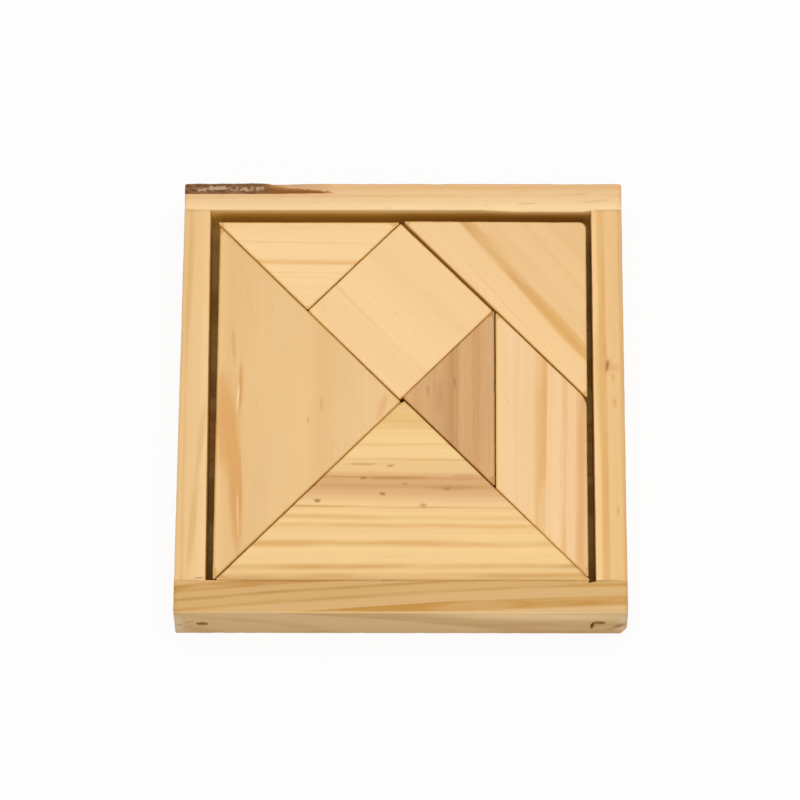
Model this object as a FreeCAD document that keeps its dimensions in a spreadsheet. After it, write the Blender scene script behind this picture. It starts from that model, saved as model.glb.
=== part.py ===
import FreeCAD, Part
import math
import os
import Sketcher

# A tangram puzzle: seven pieces of wood in a shallow square tray of four nailed strips round a thin board.
# Millimetres, +Z up, +Y away from the player. The origin is the middle of the tray's footprint.

SIZES = {
    # The square that the seven pieces make up, and the play round it in the tray.
    "tangram_side": 100.4,
    "piece_thickness": 12,
    "left_gap": 1.9,
    "right_gap": 1.6,
    "front_gap": 0.15,
    "back_gap": 3.4,
    # The tray's strips, measured across their tops. The left one is cut slightly tapered.
    "rail_height": 21,
    "front_rail_width": 8.95,
    "back_rail_width": 7.7,
    "right_rail_width": 8.3,
    "left_rail_front_width": 8.3,
    "left_rail_back_width": 7.1,
    "left_taper": 0.8,
    "flare_angle": 2.3,
    "rail_arris_radius": 0.5,
    "rail_corner_radius": 0.6,
    # The board, held in a groove in all four strips.
    "board_thickness": 4,
    "board_height": 4.5,
    "board_tongue": 3,
    "board_play": 0.3,
    # The nails through the front and back strips into the ends of the side strips, and the holes they sit in.
    "nail_length": 25,
    "nail_radius": 0.7,
    "nail_head_radius": 1.3,
    "nail_head_thickness": 0.9,
    "nail_point_length": 2,
    "nail_sink": 1.4,
    "nail_hole_clearance": 0.05,
    "nail_recess_radius": 1.6,
    "nail_to_inner_face": 1.2,
    "left_nail_height": 9.6,
    "right_nail_height": 11.2,
    # The upright split beside the right front nail, and the corner knocked off below it.
    "split_width": 1.2,
    "split_height": 5.6,
    "split_depth": 1.8,
    "split_to_nail": 2.1,
    "split_lean": 0.6,
    "chip_width": 1.7,
    "chip_height": 6.8,
    "chip_depth": 5,
    # The waney edge on the back strip's outer top edge, from its left end to where it runs out.
    "wane_width": 3.1,
    "wane_drop": 2.3,
    "wane_full_length": 21,
    "wane_run_out": 22,
    # The pieces' worn tips, corners and edges.
    "tip_radius": 0.25,
    "corner_radius": 0.5,
    "blunt_corner_radius": 1.9,
    "worn_corner_radius": 6,
    "piece_arris_radius": 0.2,
    # How far each piece is cut back from the tangram's lines, how far it has slid and how far it has turned.
    "left_large_triangle_cut_back": 0.3,
    "left_large_triangle_slide_x": 0.04,
    "left_large_triangle_slide_y": -0.71,
    "left_large_triangle_turn": -0.2,
    "front_large_triangle_cut_back": 0.1,
    "front_large_triangle_slide_x": 0.43,
    "front_large_triangle_slide_y": -0.11,
    "front_large_triangle_turn": -0.01,
    "back_small_triangle_cut_back": 0.05,
    "back_small_triangle_slide_x": -0.47,
    "back_small_triangle_slide_y": 0.05,
    "back_small_triangle_turn": -0.07,
    "middle_small_triangle_cut_back": 0.15,
    "middle_small_triangle_slide_x": 0.1,
    "middle_small_triangle_slide_y": 0.37,
    "middle_small_triangle_turn": -0.04,
    "square_piece_cut_back": 0.05,
    "square_piece_slide_x": -0.41,
    "square_piece_slide_y": -0.25,
    "square_piece_turn": -0.02,
    "parallelogram_piece_cut_back": 0.3,
    "parallelogram_piece_slide_x": -0.04,
    "parallelogram_piece_slide_y": 0.07,
    "parallelogram_piece_turn": -0.2,
    "medium_triangle_cut_back": 0.05,
    "medium_triangle_slide_x": 0.05,
    "medium_triangle_slide_y": 0.29,
    "medium_triangle_turn": -0.29,
}

# The corners of each piece on the tangram's own grid, in quarters of its side from its front left corner,
# anticlockwise seen from above, each with the size that rounds it.
PIECES = {
    "left_large_triangle": [((0, 4), "tip_radius"), ((0, 0), "tip_radius"), ((2, 2), "corner_radius")],
    "front_large_triangle": [((0, 0), "tip_radius"), ((4, 0), "tip_radius"), ((2, 2), "corner_radius")],
    "back_small_triangle": [((0, 4), "tip_radius"), ((1, 3), "corner_radius"), ((2, 4), "tip_radius")],
    "middle_small_triangle": [((2, 2), "corner_radius"), ((3, 1), "tip_radius"), ((3, 3), "tip_radius")],
    "square_piece": [
        ((1, 3), "corner_radius"),
        ((2, 2), "corner_radius"),
        ((3, 3), "corner_radius"),
        ((2, 4), "corner_radius"),
    ],
    "parallelogram_piece": [
        ((3, 1), "corner_radius"),
        ((4, 0), "tip_radius"),
        ((4, 2), "worn_corner_radius"),
        ((3, 3), "tip_radius"),
    ],
    "medium_triangle": [((2, 4), "tip_radius"), ((4, 2), "tip_radius"), ((4, 4), "blunt_corner_radius")],
}

# Lines of the tray, seen from above, as expressions in the sheet's sizes.
TRAY_WIDTH = (
    "(sizes.left_rail_front_width + sizes.left_gap + sizes.tangram_side"
    " + sizes.right_gap + sizes.right_rail_width)"
)
TRAY_DEPTH = (
    "(sizes.front_rail_width + sizes.front_gap + sizes.tangram_side"
    " + sizes.back_gap + sizes.back_rail_width)"
)
OUTER_LEFT = f"(-{TRAY_WIDTH} / 2)"
OUTER_RIGHT = f"({TRAY_WIDTH} / 2)"
OUTER_FRONT = f"(-{TRAY_DEPTH} / 2)"
OUTER_BACK = f"({TRAY_DEPTH} / 2)"
INNER_LEFT = f"({OUTER_LEFT} + sizes.left_rail_front_width)"
INNER_RIGHT = f"({OUTER_RIGHT} - sizes.right_rail_width)"
INNER_FRONT = f"({OUTER_FRONT} + sizes.front_rail_width)"
INNER_BACK = f"({OUTER_BACK} - sizes.back_rail_width)"
OUTER_LEFT_AT_BACK = f"({OUTER_LEFT} + sizes.left_taper)"
INNER_LEFT_AT_BACK = f"({OUTER_LEFT_AT_BACK} + sizes.left_rail_back_width)"
FLARE = "(sizes.rail_height * tan(sizes.flare_angle * 1 deg))"

document = FreeCAD.newDocument("tangram_puzzle")
sizes = document.addObject("Spreadsheet::Sheet", "sizes")


def fill_sheet():
    for row, (name, value) in enumerate(SIZES.items(), start=1):
        sizes.set(f"A{row}", name)
        sizes.set(f"B{row}", str(value))
        sizes.setAlias(f"B{row}", name)
    document.recompute()


def new_body(name):
    body = document.addObject("PartDesign::Body", name)
    body.Label = name
    return body


def new_sketch(body, name, plane, offset):
    """A sketch on one of the body's own planes, moved along that plane's normal by the offset."""
    sketch = body.newObject("Sketcher::SketchObject", f"{body.Name}_{name}")
    support = next(item for item in body.Origin.OriginFeatures if item.Role == plane)
    sketch.AttachmentSupport = [(support, "")]
    sketch.MapMode = "FlatFace"
    sketch.setExpression(".AttachmentOffset.Base.z", offset)
    return sketch


def pin(sketch, edge, end, tag, corner):
    """Fixes one end of a line or arc at a place given by two expressions."""
    start = sketch.getPoint(edge, end)
    for axis, value, place in zip("XY", (start.x, start.y), corner):
        index = sketch.addConstraint(Sketcher.Constraint(f"Distance{axis}", edge, end, value))
        sketch.renameConstraint(index, f"{tag}_{axis}")
        sketch.setExpression(f"Constraints.{tag}_{axis}", place)


def draw_outline(sketch, corners):
    """A closed outline of straight lines with every corner pinned."""
    count = len(corners)
    ring = [2 * math.pi * step / count for step in range(count)]
    points = [FreeCAD.Vector(math.cos(angle), math.sin(angle), 0) for angle in ring]
    for step in range(count):
        sketch.addGeometry(Part.LineSegment(points[step], points[(step + 1) % count]), False)
    for step in range(count):
        sketch.addConstraint(Sketcher.Constraint("Coincident", step, 2, (step + 1) % count, 1))
    for step, corner in enumerate(corners):
        pin(sketch, step, 1, f"corner_{step}", corner)


def draw_circle(sketch, centre, radius):
    circle = Part.Circle(FreeCAD.Vector(0, 0, 0), FreeCAD.Vector(0, 0, 1), 1)
    sketch.addGeometry(circle, False)
    pin(sketch, 0, 3, "centre", centre)
    index = sketch.addConstraint(Sketcher.Constraint("Radius", 0, 1.0))
    sketch.renameConstraint(index, "radius")
    sketch.setExpression("Constraints.radius", radius)


def rectangle(left, front, right, back):
    return [(left, front), (right, front), (right, back), (left, back)]


def pad(body, name, sketch, length):
    feature = body.newObject("PartDesign::Pad", f"{body.Name}_{name}")
    feature.Profile = sketch
    feature.setExpression("Length", length)
    document.recompute()
    return feature


def pocket(body, name, sketch, depth, upwards=False):
    """A cut behind the sketch, or before it; the solid has to lose wood."""
    before = body.Tip.Shape.Volume
    feature = body.newObject("PartDesign::Pocket", f"{body.Name}_{name}")
    feature.Profile = sketch
    feature.Reversed = upwards
    feature.setExpression("Length", depth)
    document.recompute()
    if feature.Shape.Volume >= before:
        raise ValueError(f"{feature.Name} cuts nothing")
    return feature


def edges_where(feature, test):
    return [f"Edge{number}" for number, edge in enumerate(feature.Shape.Edges, start=1) if test(edge)]


def faces_where(feature, test):
    return [f"Face{number}" for number, face in enumerate(feature.Shape.Faces, start=1) if test(face)]


def round_edges(body, name, radius, test):
    base = body.Tip
    feature = body.newObject("PartDesign::Fillet", f"{body.Name}_{name}")
    feature.Base = (base, edges_where(base, test))
    feature.setExpression("Radius", radius)
    document.recompute()
    return feature


def is_upright(edge):
    return edge.BoundBox.XLength < 0.001 and edge.BoundBox.YLength < 0.001


def make_rail(name, corners, outer_sides):
    """A strip of wood whose outer faces lean out towards the foot, with its outer arrises eased."""
    body = new_body(name)
    sketch = new_sketch(body, "outline", "XY_Plane", "0")
    draw_outline(sketch, corners)
    block = pad(body, "block", sketch, "sizes.rail_height")
    top = block.Shape.BoundBox.ZMax
    lean = body.newObject("PartDesign::Draft", f"{name}_lean")

    def faces_out(face):
        normal = face.normalAt(0, 0)
        return any(normal.dot(FreeCAD.Vector(*side, 0)) > 0.99 for side in outer_sides)

    lean.Base = (block, faces_where(block, faces_out))
    lean.NeutralPlane = (block, faces_where(block, lambda face: face.normalAt(0, 0).z > 0.99))
    lean.setExpression("Angle", "sizes.flare_angle")
    document.recompute()
    if lean.Shape.Volume < block.Shape.Volume:
        lean.Reversed = True
        document.recompute()
    outer_faces = [face for face in lean.Shape.Faces if 0 < face.normalAt(0, 0).z < 0.2]

    def on_outer_faces(edge, wanted):
        middle = edge.valueAt((edge.FirstParameter + edge.LastParameter) / 2)
        point = Part.Vertex(middle)
        return sum(face.distToShape(point)[0] < 0.001 for face in outer_faces) == wanted

    def is_top(edge):
        return edge.BoundBox.ZMin > top - 0.001

    def is_corner(edge):
        return edge.BoundBox.ZLength > top - 0.001 and on_outer_faces(edge, 2)

    if len(outer_sides) > 1:
        round_edges(body, "corners", "sizes.rail_corner_radius", is_corner)
        outer_faces = [face for face in body.Tip.Shape.Faces if 0 < abs(face.normalAt(0, 0).z) < 0.2]
    round_edges(body, "arrises", "sizes.rail_arris_radius", lambda edge: is_top(edge) and on_outer_faces(edge, 1))
    cut_groove(body)
    return body


def cut_groove(body):
    """The stopped groove for the board, cut to the board's outline and its play."""
    reach = "(sizes.board_tongue + sizes.board_play)"
    sketch = new_sketch(body, "groove_outline", "XY_Plane", "sizes.board_height + sizes.board_thickness")
    outline = rectangle(
        f"{INNER_LEFT} - {reach}",
        f"{INNER_FRONT} - {reach}",
        f"{INNER_RIGHT} + {reach}",
        f"{INNER_BACK} + {reach}",
    )
    draw_outline(sketch, outline)
    pocket(body, "groove", sketch, "sizes.board_thickness")


def make_board():
    body = new_body("base_board")
    sketch = new_sketch(body, "outline", "XY_Plane", "sizes.board_height")
    outline = rectangle(
        f"{INNER_LEFT} - sizes.board_tongue",
        f"{INNER_FRONT} - sizes.board_tongue",
        f"{INNER_RIGHT} + sizes.board_tongue",
        f"{INNER_BACK} + sizes.board_tongue",
    )
    draw_outline(sketch, outline)
    pad(body, "panel", sketch, "sizes.board_thickness")
    return body


def leaning_face(outer, height, sign):
    """Where a leaning outer face stands at a height, going out from the line at its top."""
    return f"({outer} + {sign} * (sizes.rail_height - {height}) * tan(sizes.flare_angle * 1 deg))"


# Each nail: which strip it is driven through, which way it points, its place across and its height.
NAILS = {
    "front_left": ("front", f"({INNER_LEFT} - sizes.nail_to_inner_face)", "sizes.left_nail_height"),
    "front_right": ("front", f"({INNER_RIGHT} + sizes.nail_to_inner_face)", "sizes.right_nail_height"),
    "back_left": ("back", f"({INNER_LEFT_AT_BACK} - sizes.nail_to_inner_face)", "sizes.left_nail_height"),
    "back_right": ("back", f"({INNER_RIGHT} + sizes.nail_to_inner_face)", "sizes.right_nail_height"),
}


def nail_head_place(side, height):
    """The depth in the tray at which a sunk nail's head has its outer face."""
    if side == "front":
        return f"({leaning_face(OUTER_FRONT, height, -1)} + sizes.nail_sink)"
    return f"({leaning_face(OUTER_BACK, height, 1)} - sizes.nail_sink)"


def bore(body, name, side, centre, radius, start, depth):
    """A round hole along the tray's depth, from a start place inwards."""
    sketch = new_sketch(body, f"{name}_circle", "XZ_Plane", f"-{start}")
    draw_circle(sketch, centre, radius)
    pocket(body, name, sketch, depth, upwards=side == "back")


def drill_rail(body, side, nail):
    """A nail's hole and the wider recess above its head, through the front or back strip."""
    _, across, height = NAILS[nail]
    head = nail_head_place(side, height)
    outermost = f"({OUTER_FRONT} - {FLARE})" if side == "front" else f"({OUTER_BACK} + {FLARE})"
    to_head = f"abs({head} - {outermost})"
    width = "sizes.front_rail_width" if side == "front" else "sizes.back_rail_width"
    bore(body, f"{nail}_hole", side, (across, height), "sizes.nail_radius + sizes.nail_hole_clearance",
         outermost, f"{width} + {FLARE}")
    bore(body, f"{nail}_recess", side, (across, height), "sizes.nail_recess_radius",
         outermost, f"{to_head} + sizes.nail_head_thickness")


def drill_end(body, side, nail):
    """The rest of the nail's hole, in the end of a side strip, just longer than the nail."""
    _, across, height = NAILS[nail]
    start = INNER_FRONT if side == "front" else INNER_BACK
    depth = f"sizes.nail_length - abs({start} - {nail_head_place(side, height)}) + sizes.nail_hole_clearance"
    bore(body, f"{nail}_hole", side, (across, height), "sizes.nail_radius + sizes.nail_hole_clearance",
         start, depth)


def cut_split(body):
    """The upright split where the right front nail tore the strip, a long diamond that leans a little."""
    middle = f"{INNER_RIGHT} + sizes.nail_to_inner_face - sizes.split_to_nail"
    outermost = f"({OUTER_FRONT} - {FLARE})"
    surface = leaning_face(OUTER_FRONT, "sizes.right_nail_height", -1)
    corners = [
        (f"{middle} - sizes.split_lean / 2", "sizes.right_nail_height - sizes.split_height / 2"),
        (f"{middle} + sizes.split_width / 2", "sizes.right_nail_height"),
        (f"{middle} + sizes.split_lean / 2", "sizes.right_nail_height + sizes.split_height / 2"),
        (f"{middle} - sizes.split_width / 2", "sizes.right_nail_height"),
    ]
    sketch = new_sketch(body, "split_outline", "XZ_Plane", f"-{outermost}")
    draw_outline(sketch, corners)
    pocket(body, "split", sketch, f"abs({surface} - {outermost}) + sizes.split_depth")


def knock_off_corner(body):
    """The front strip's lower right corner, broken off along one flat face."""
    past = 0.3
    slant = "atan(sizes.chip_width / sizes.chip_depth)"
    width = f"sizes.chip_width * cos({slant})"
    sketch = new_sketch(body, "chip_outline", "XZ_Plane", f"-({OUTER_FRONT} - {FLARE})")
    sketch.setExpression(".AttachmentOffset.Base.x", f"{OUTER_RIGHT} + {FLARE}")
    sketch.AttachmentOffset.Rotation = FreeCAD.Rotation(FreeCAD.Vector(0, 1, 0), -10)
    sketch.setExpression(".AttachmentOffset.Rotation.Angle", f"-{slant}")
    corners = [
        (f"-{1 + past} * {width}", f"-{past} * sizes.chip_height"),
        (f"{past} * {width}", f"-{past} * sizes.chip_height"),
        (f"{past} * {width}", f"{1 + past} * sizes.chip_height"),
    ]
    draw_outline(sketch, corners)
    chip = pocket(body, "chip", sketch, "4 * sizes.chip_depth")
    chip.Midplane = True
    document.recompute()


def wane_triangle(width_share, drop_share):
    """What is missing at the waney edge, seen along the strip."""
    outside = f"({OUTER_BACK} + {FLARE})"
    return [
        (f"{OUTER_BACK} - {width_share} * sizes.wane_width", "sizes.rail_height"),
        (outside, f"sizes.rail_height - {drop_share} * sizes.wane_drop"),
        (outside, "sizes.rail_height"),
    ]


def cut_wane(body):
    """The waney edge: nearly even at first, then rising to the strip's top until it runs out."""
    end = f"({OUTER_LEFT_AT_BACK} - {FLARE})"
    full = f"({end} + sizes.wane_full_length)"
    sections = [
        (end, wane_triangle(1, 1)),
        (full, wane_triangle(1, 0.8)),
        (f"({full} + sizes.wane_run_out)", wane_triangle(0.9, 0.05)),
    ]
    sketches = []
    for number, (place, corners) in enumerate(sections):
        sketch = new_sketch(body, f"wane_{number}", "YZ_Plane", place)
        draw_outline(sketch, corners)
        sketches.append(sketch)
    document.recompute()
    before = body.Tip.Shape.Volume
    wane = body.newObject("PartDesign::SubtractiveLoft", "back_rail_wane")
    wane.Profile = sketches[0]
    wane.Sections = sketches[1:]
    wane.Ruled = True
    document.recompute()
    if wane.Shape.Volume >= before:
        raise ValueError("the waney edge cuts nothing")


def make_front_rail():
    corners = rectangle(OUTER_LEFT, OUTER_FRONT, OUTER_RIGHT, INNER_FRONT)
    body = make_rail("front_rail", corners, [(-1, 0), (1, 0), (0, -1)])
    drill_rail(body, "front", "front_left")
    drill_rail(body, "front", "front_right")
    cut_split(body)
    knock_off_corner(body)


def make_back_rail():
    corners = rectangle(OUTER_LEFT_AT_BACK, INNER_BACK, OUTER_RIGHT, OUTER_BACK)
    body = make_rail("back_rail", corners, [(-1, 0), (1, 0), (0, 1)])
    drill_rail(body, "back", "back_left")
    drill_rail(body, "back", "back_right")
    cut_wane(body)


def make_left_rail():
    corners = [
        (OUTER_LEFT, INNER_FRONT),
        (INNER_LEFT, INNER_FRONT),
        (INNER_LEFT_AT_BACK, INNER_BACK),
        (OUTER_LEFT_AT_BACK, INNER_BACK),
    ]
    body = make_rail("left_rail", corners, [(-1, 0)])
    drill_end(body, "front", "front_left")
    drill_end(body, "back", "back_left")


def make_right_rail():
    body = make_rail("right_rail", rectangle(INNER_RIGHT, INNER_FRONT, OUTER_RIGHT, INNER_BACK), [(1, 0)])
    drill_end(body, "front", "front_right")
    drill_end(body, "back", "back_right")


def inward_step(before, corner, after):
    """How far a corner moves, across and along, when both its edges are cut back by one."""
    normals = []
    for start, end in ((before, corner), (corner, after)):
        along = FreeCAD.Vector(end[0] - start[0], end[1] - start[1], 0).normalize()
        normals.append(FreeCAD.Vector(-along.y, along.x, 0))
    step = (normals[0] + normals[1]) / (1 + normals[0].dot(normals[1]))
    return step.x, step.y


def make_piece(name, corners):
    """One tangram piece, drawn about the middle of its own outline and laid on the board."""
    grid = [place for place, _ in corners]
    middle = [(min(place[axis] for place in grid) + max(place[axis] for place in grid)) / 2 for axis in (0, 1)]
    outline = []
    for step, place in enumerate(grid):
        inward = inward_step(grid[step - 1], place, grid[(step + 1) % len(grid)])
        outline.append(tuple(
            f"{(place[axis] - middle[axis]) / 4} * sizes.tangram_side + {inward[axis]:.6f} * sizes.{name}_cut_back"
            for axis in (0, 1)
        ))
    body = new_body(name)
    sketch = new_sketch(body, "outline", "XY_Plane", "0")
    draw_outline(sketch, outline)
    pad(body, "block", sketch, "sizes.piece_thickness")
    for step, (_, radius) in enumerate(corners):
        corner = sketch.Geometry[step].StartPoint

        def at_corner(edge):
            centre = edge.BoundBox.Center
            return is_upright(edge) and math.hypot(centre.x - corner.x, centre.y - corner.y) < 0.01

        round_edges(body, f"corner_{step}", f"sizes.{radius}", at_corner)
    top = body.Tip.Shape.BoundBox.ZMax
    round_edges(body, "arris", "sizes.piece_arris_radius", lambda edge: edge.BoundBox.ZMin > top - 0.001)
    corner_of_square = (f"{INNER_LEFT} + sizes.left_gap", f"{INNER_FRONT} + sizes.front_gap")
    for axis, origin, along in zip("xy", corner_of_square, middle):
        place = f"{origin} + {along / 4} * sizes.tangram_side + sizes.{name}_slide_{axis}"
        body.setExpression(f".Placement.Base.{axis}", place)
    body.setExpression(".Placement.Base.z", "sizes.board_height + sizes.board_thickness")
    body.setExpression(".Placement.Rotation.Angle", f"sizes.{name}_turn")
    return body


def make_nail(nail):
    """A wire nail with a small flat head, lying along the tray's depth."""
    side, across, height = NAILS[nail]
    shank = document.addObject("Part::Cylinder", f"{nail}_shank")
    shank.setExpression("Radius", "sizes.nail_radius")
    shank.setExpression("Height", "sizes.nail_length - sizes.nail_point_length")
    head = document.addObject("Part::Cylinder", f"{nail}_head")
    head.setExpression("Radius", "sizes.nail_head_radius")
    head.setExpression("Height", "sizes.nail_head_thickness")
    point = document.addObject("Part::Cone", f"{nail}_point")
    point.setExpression("Radius1", "sizes.nail_radius")
    point.Radius2 = 0
    point.setExpression("Height", "sizes.nail_point_length")
    point.setExpression(".Placement.Base.z", "sizes.nail_length - sizes.nail_point_length")
    body = document.addObject("Part::MultiFuse", f"{nail}_nail")
    body.Shapes = [shank, head, point]
    inwards = 1 if side == "front" else -1
    body.Placement.Rotation = FreeCAD.Rotation(FreeCAD.Vector(1, 0, 0), -90 * inwards)
    body.setExpression(".Placement.Base.x", across)
    body.setExpression(".Placement.Base.y", nail_head_place(side, height))
    body.setExpression(".Placement.Base.z", height)
    return body


def make_nails():
    group = document.addObject("Part::Compound", "corner_nails")
    group.Links = [make_nail(nail) for nail in NAILS]
    group.Label = "corner_nails"


def build():
    fill_sheet()
    make_board()
    make_left_rail()
    make_right_rail()
    make_front_rail()
    make_back_rail()
    for name, corners in PIECES.items():
        make_piece(name, corners)
    make_nails()
    document.recompute()


def check_and_write():
    """Writes one file for each sub-part, once every object in the document has been found sound."""
    failed = [item.Name for item in document.Objects if {"Invalid", "Error"} & set(item.State)]
    if failed:
        raise ValueError(f"these objects failed: {failed}")
    parts = [item for item in document.Objects if item.isDerivedFrom("PartDesign::Body")]
    parts.append(document.getObject("corner_nails"))
    for part in parts:
        if part.Shape.isNull() or not part.Shape.isValid():
            raise ValueError(f"{part.Label} has no sound shape")
    os.makedirs("parts", exist_ok=True)
    for part in parts:
        part.Shape.exportStep(f"parts/{part.Label}.step")
        box = part.Shape.BoundBox
        print(f"{part.Label}: {len(part.Shape.Solids)} solid(s), {part.Shape.Volume:.0f} mm3,",
              f"{box.XLength:.2f} x {box.YLength:.2f} x {box.ZLength:.2f} mm")


build()
check_and_write()
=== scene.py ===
"""A tangram puzzle: seven flat pieces of wood in a square tray of four nailed strips and a board."""
from math import cos, pi, radians, sin, sqrt

import bmesh
import bpy
from mathutils import Matrix, Vector, noise
from mathutils.kdtree import KDTree


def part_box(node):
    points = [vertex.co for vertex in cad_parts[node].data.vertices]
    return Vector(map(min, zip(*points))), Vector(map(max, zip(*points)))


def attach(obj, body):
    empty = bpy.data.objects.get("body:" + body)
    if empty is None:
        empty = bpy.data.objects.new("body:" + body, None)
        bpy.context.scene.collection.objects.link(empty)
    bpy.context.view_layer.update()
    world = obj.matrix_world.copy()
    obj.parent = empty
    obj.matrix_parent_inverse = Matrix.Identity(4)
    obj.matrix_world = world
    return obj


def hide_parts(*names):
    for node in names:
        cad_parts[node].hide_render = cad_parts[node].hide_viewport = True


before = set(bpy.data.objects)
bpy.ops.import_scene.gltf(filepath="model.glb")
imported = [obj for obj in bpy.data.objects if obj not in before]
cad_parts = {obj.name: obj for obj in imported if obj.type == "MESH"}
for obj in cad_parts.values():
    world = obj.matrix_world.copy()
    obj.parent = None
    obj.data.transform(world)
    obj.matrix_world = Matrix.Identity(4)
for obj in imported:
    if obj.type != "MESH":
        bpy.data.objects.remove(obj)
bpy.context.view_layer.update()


# The camera stands almost straight above the tray, leaning a little towards the player's side, and is
# turned by about one degree, as a camera held by hand is.

azimuth = radians(1.03)
elevation = radians(73.95)
roll = radians(-0.93)
distance = 0.927
target = Vector((-0.00029, -0.00139, 0.0205))
away = Vector((sin(azimuth) * cos(elevation), -cos(azimuth) * cos(elevation), sin(elevation)))
level = Vector((cos(azimuth), sin(azimuth), 0))
upright = away.cross(level)
camera_right = cos(roll) * level + sin(roll) * upright
camera_up = -sin(roll) * level + cos(roll) * upright


def add_object(name, data):
    thing = bpy.data.objects.new(name, data)
    bpy.context.scene.collection.objects.link(thing)
    return thing


camera_data = bpy.data.cameras.new("camera")
camera_data.sensor_width = 36
camera_data.lens = 154.7
camera = add_object("camera", camera_data)
turned = Matrix((camera_right, camera_up, away)).transposed().to_4x4()
camera.matrix_world = Matrix.Translation(target + away * distance) @ turned
bpy.context.scene.camera = camera


# The board is a square of thin plywood held in a groove in all four strips. Its face veneer is peeled off
# the log, so the figure is broad and wavy. It shows between the pieces and, bare, from underneath.

mm = 0.001


def shade(red, green, blue):
    """A colour as the eye reads it, 0 to 255, made linear for the shader."""
    steps = [value / 255 for value in (red, green, blue)]
    return (*[step / 12.92 if step <= 0.04045 else ((step + 0.055) / 1.055) ** 2.4 for step in steps], 1)


def put(tree, kind, inputs=(), **settings):
    """One node with its settings. Each input is a value or another node's output."""
    node = tree.nodes.new(kind)
    for name, value in settings.items():
        setattr(node, name, value)
    for name, value in dict(inputs).items():
        if isinstance(value, bpy.types.NodeSocket):
            tree.links.new(value, node.inputs[name])
        else:
            node.inputs[name].default_value = value
    return node


def reckon(tree, operation, *values):
    return put(tree, "ShaderNodeMath", enumerate(values), operation=operation).outputs[0]


def blend_colour(tree, share, first, second, how="MIX"):
    inputs = {0: share, 6: first, 7: second}
    return put(tree, "ShaderNodeMix", inputs, data_type="RGBA", blend_type=how).outputs[2]


def ease(tree, value, start, end, low=0.0, high=1.0):
    """The value's way from start to end, eased at both, as a way from low to high."""
    inputs = {"Value": value, "From Min": start, "From Max": end, "To Min": low, "To Max": high}
    return put(tree, "ShaderNodeMapRange", inputs, interpolation_type="SMOOTHSTEP").outputs[0]


def make_group(name, inputs, outputs):
    """An empty shader group with named inputs and outputs."""
    tree = bpy.data.node_groups.new(name, "ShaderNodeTree")
    for label, kind in inputs.items():
        tree.interface.new_socket(label, in_out="INPUT", socket_type=f"NodeSocket{kind}")
    for label in outputs:
        tree.interface.new_socket(label, in_out="OUTPUT", socket_type="NodeSocketFloat")
    return tree, tree.nodes.new("NodeGroupInput").outputs, tree.nodes.new("NodeGroupOutput").inputs


def use_group(tree, group, inputs):
    return put(tree, "ShaderNodeGroup", inputs, node_tree=group).outputs


def parts_of(tree, vector):
    return put(tree, "ShaderNodeSeparateXYZ", {0: vector}).outputs


def cloud(tree, vector, scale, detail=2.0):
    """Soft noise stretched by a scale for each axis, as a value and as three values."""
    stretched = put(tree, "ShaderNodeMapping", {"Vector": vector, "Scale": scale}).outputs[0]
    inputs = {"Vector": stretched, "Scale": 1.0, "Detail": detail, "Roughness": 0.55}
    return put(tree, "ShaderNodeTexNoise", inputs).outputs


# Rings: the distance from the middle of the log, in metres, with the slow wander that real rings have.
rings_group, given, out = make_group(
    "growth_rings", {"Vector": "Vector", "Bow": "Float", "Wander": "Float"}, ["Radius"])
tree = rings_group
parts = parts_of(tree, given["Vector"])
curve = reckon(tree, "MULTIPLY", reckon(tree, "MULTIPLY", parts[0], parts[0]), given["Bow"])
across = reckon(tree, "ADD", parts[1], curve)
bent = put(tree, "ShaderNodeCombineXYZ", {0: parts[0], 1: across, 2: parts[2]}).outputs[0]
drift = parts_of(tree, cloud(tree, bent, (16, 50, 50))["Color"])
sideways = reckon(tree, "MULTIPLY", reckon(tree, "SUBTRACT", drift[0], 0.5), given["Wander"])
upwards = reckon(tree, "MULTIPLY", reckon(tree, "SUBTRACT", drift[1], 0.5), given["Wander"])
flat = put(tree, "ShaderNodeCombineXYZ", {
    0: reckon(tree, "ADD", across, sideways), 1: reckon(tree, "ADD", parts[2], upwards), 2: 0.0}).outputs[0]
length = put(tree, "ShaderNodeVectorMath", {0: flat}, operation="LENGTH").outputs["Value"]
tree.links.new(length, out["Radius"])

# Fine rings: many narrow rings, each fading from early to late wood and stopping short, no two alike.
fine_group, given, out = make_group("fine_rings", {"Radius": "Float", "Spacing": "Float"}, ["Late Wood"])
tree = fine_group
count = reckon(tree, "DIVIDE", given["Radius"], given["Spacing"])
uneven = put(tree, "ShaderNodeTexNoise", {"W": count, "Scale": 0.45, "Detail": 2.0}, noise_dimensions="1D")
count = reckon(tree, "ADD", count, reckon(tree, "MULTIPLY", uneven.outputs[0], 2.2))
part = reckon(tree, "FRACT", count)
strength = put(tree, "ShaderNodeTexWhiteNoise", {"W": reckon(tree, "FLOOR", count)}, noise_dimensions="1D")
rise = ease(tree, part, 0.25, 0.9)
fall = ease(tree, part, 0.93, 1.0, 1.0, 0.0)
late = reckon(tree, "MULTIPLY", reckon(tree, "MULTIPLY", rise, fall), strength.outputs["Value"])
tree.links.new(late, out["Late Wood"])

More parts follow.
